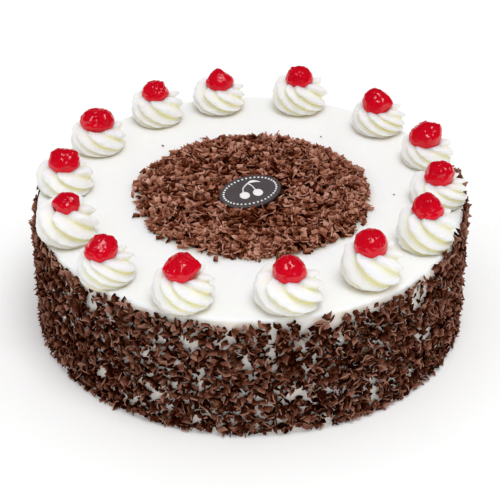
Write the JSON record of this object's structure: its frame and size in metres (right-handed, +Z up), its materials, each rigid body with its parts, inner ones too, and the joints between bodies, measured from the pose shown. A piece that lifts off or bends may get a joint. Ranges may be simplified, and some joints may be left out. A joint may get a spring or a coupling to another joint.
{
  "type": "black forest cake",
  "caption": "Round whole black forest cake: cream coat, chocolate shavings on the side and heaped on top, piped cream rosettes each with a glazed cherry, and a plain oval plaque.",
  "frame": {"origin": "centre of the cake's flat underside, on the surface that it stands on", "axes": "+Z up along the cake's axis, -Y towards the viewer of the picture, +X to that viewer's right"},
  "size_m": [0.2659, 0.2661, 0.111],
  "materials": {
    "cream_coat": "whipped cream, smooth and matte, with chocolate shavings pressed on",
    "cream": "piped whipped cream, soft and matte",
    "shavings": "dark chocolate shavings with a dull sheen",
    "cherry": "glazed fruit, wet and glossy",
    "plaque": "dark chocolate wafer, smooth and dull"
  },
  "bodies": {
    "root": {"cake": "cream_coat", "shavings_heap": "shavings", "plaque": "plaque", "rosette_01": "cream", "cherry_01": "cherry", "rosette_02": "cream", "cherry_02": "cherry", "rosette_03": "cream", "cherry_03": "cherry", "rosette_04": "cream", "cherry_04": "cherry", "rosette_05": "cream", "cherry_05": "cherry", "rosette_06": "cream", "cherry_06": "cherry", "rosette_07": "cream", "cherry_07": "cherry", "rosette_08": "cream", "cherry_08": "cherry", "rosette_09": "cream", "cherry_09": "cherry", "rosette_10": "cream", "cherry_10": "cherry", "rosette_11": "cream", "cherry_11": "cherry", "rosette_12": "cream", "cherry_12": "cherry", "rosette_13": "cream", "cherry_13": "cherry", "rosette_14": "cream", "cherry_14": "cherry"}
  },
  "joints": []
}
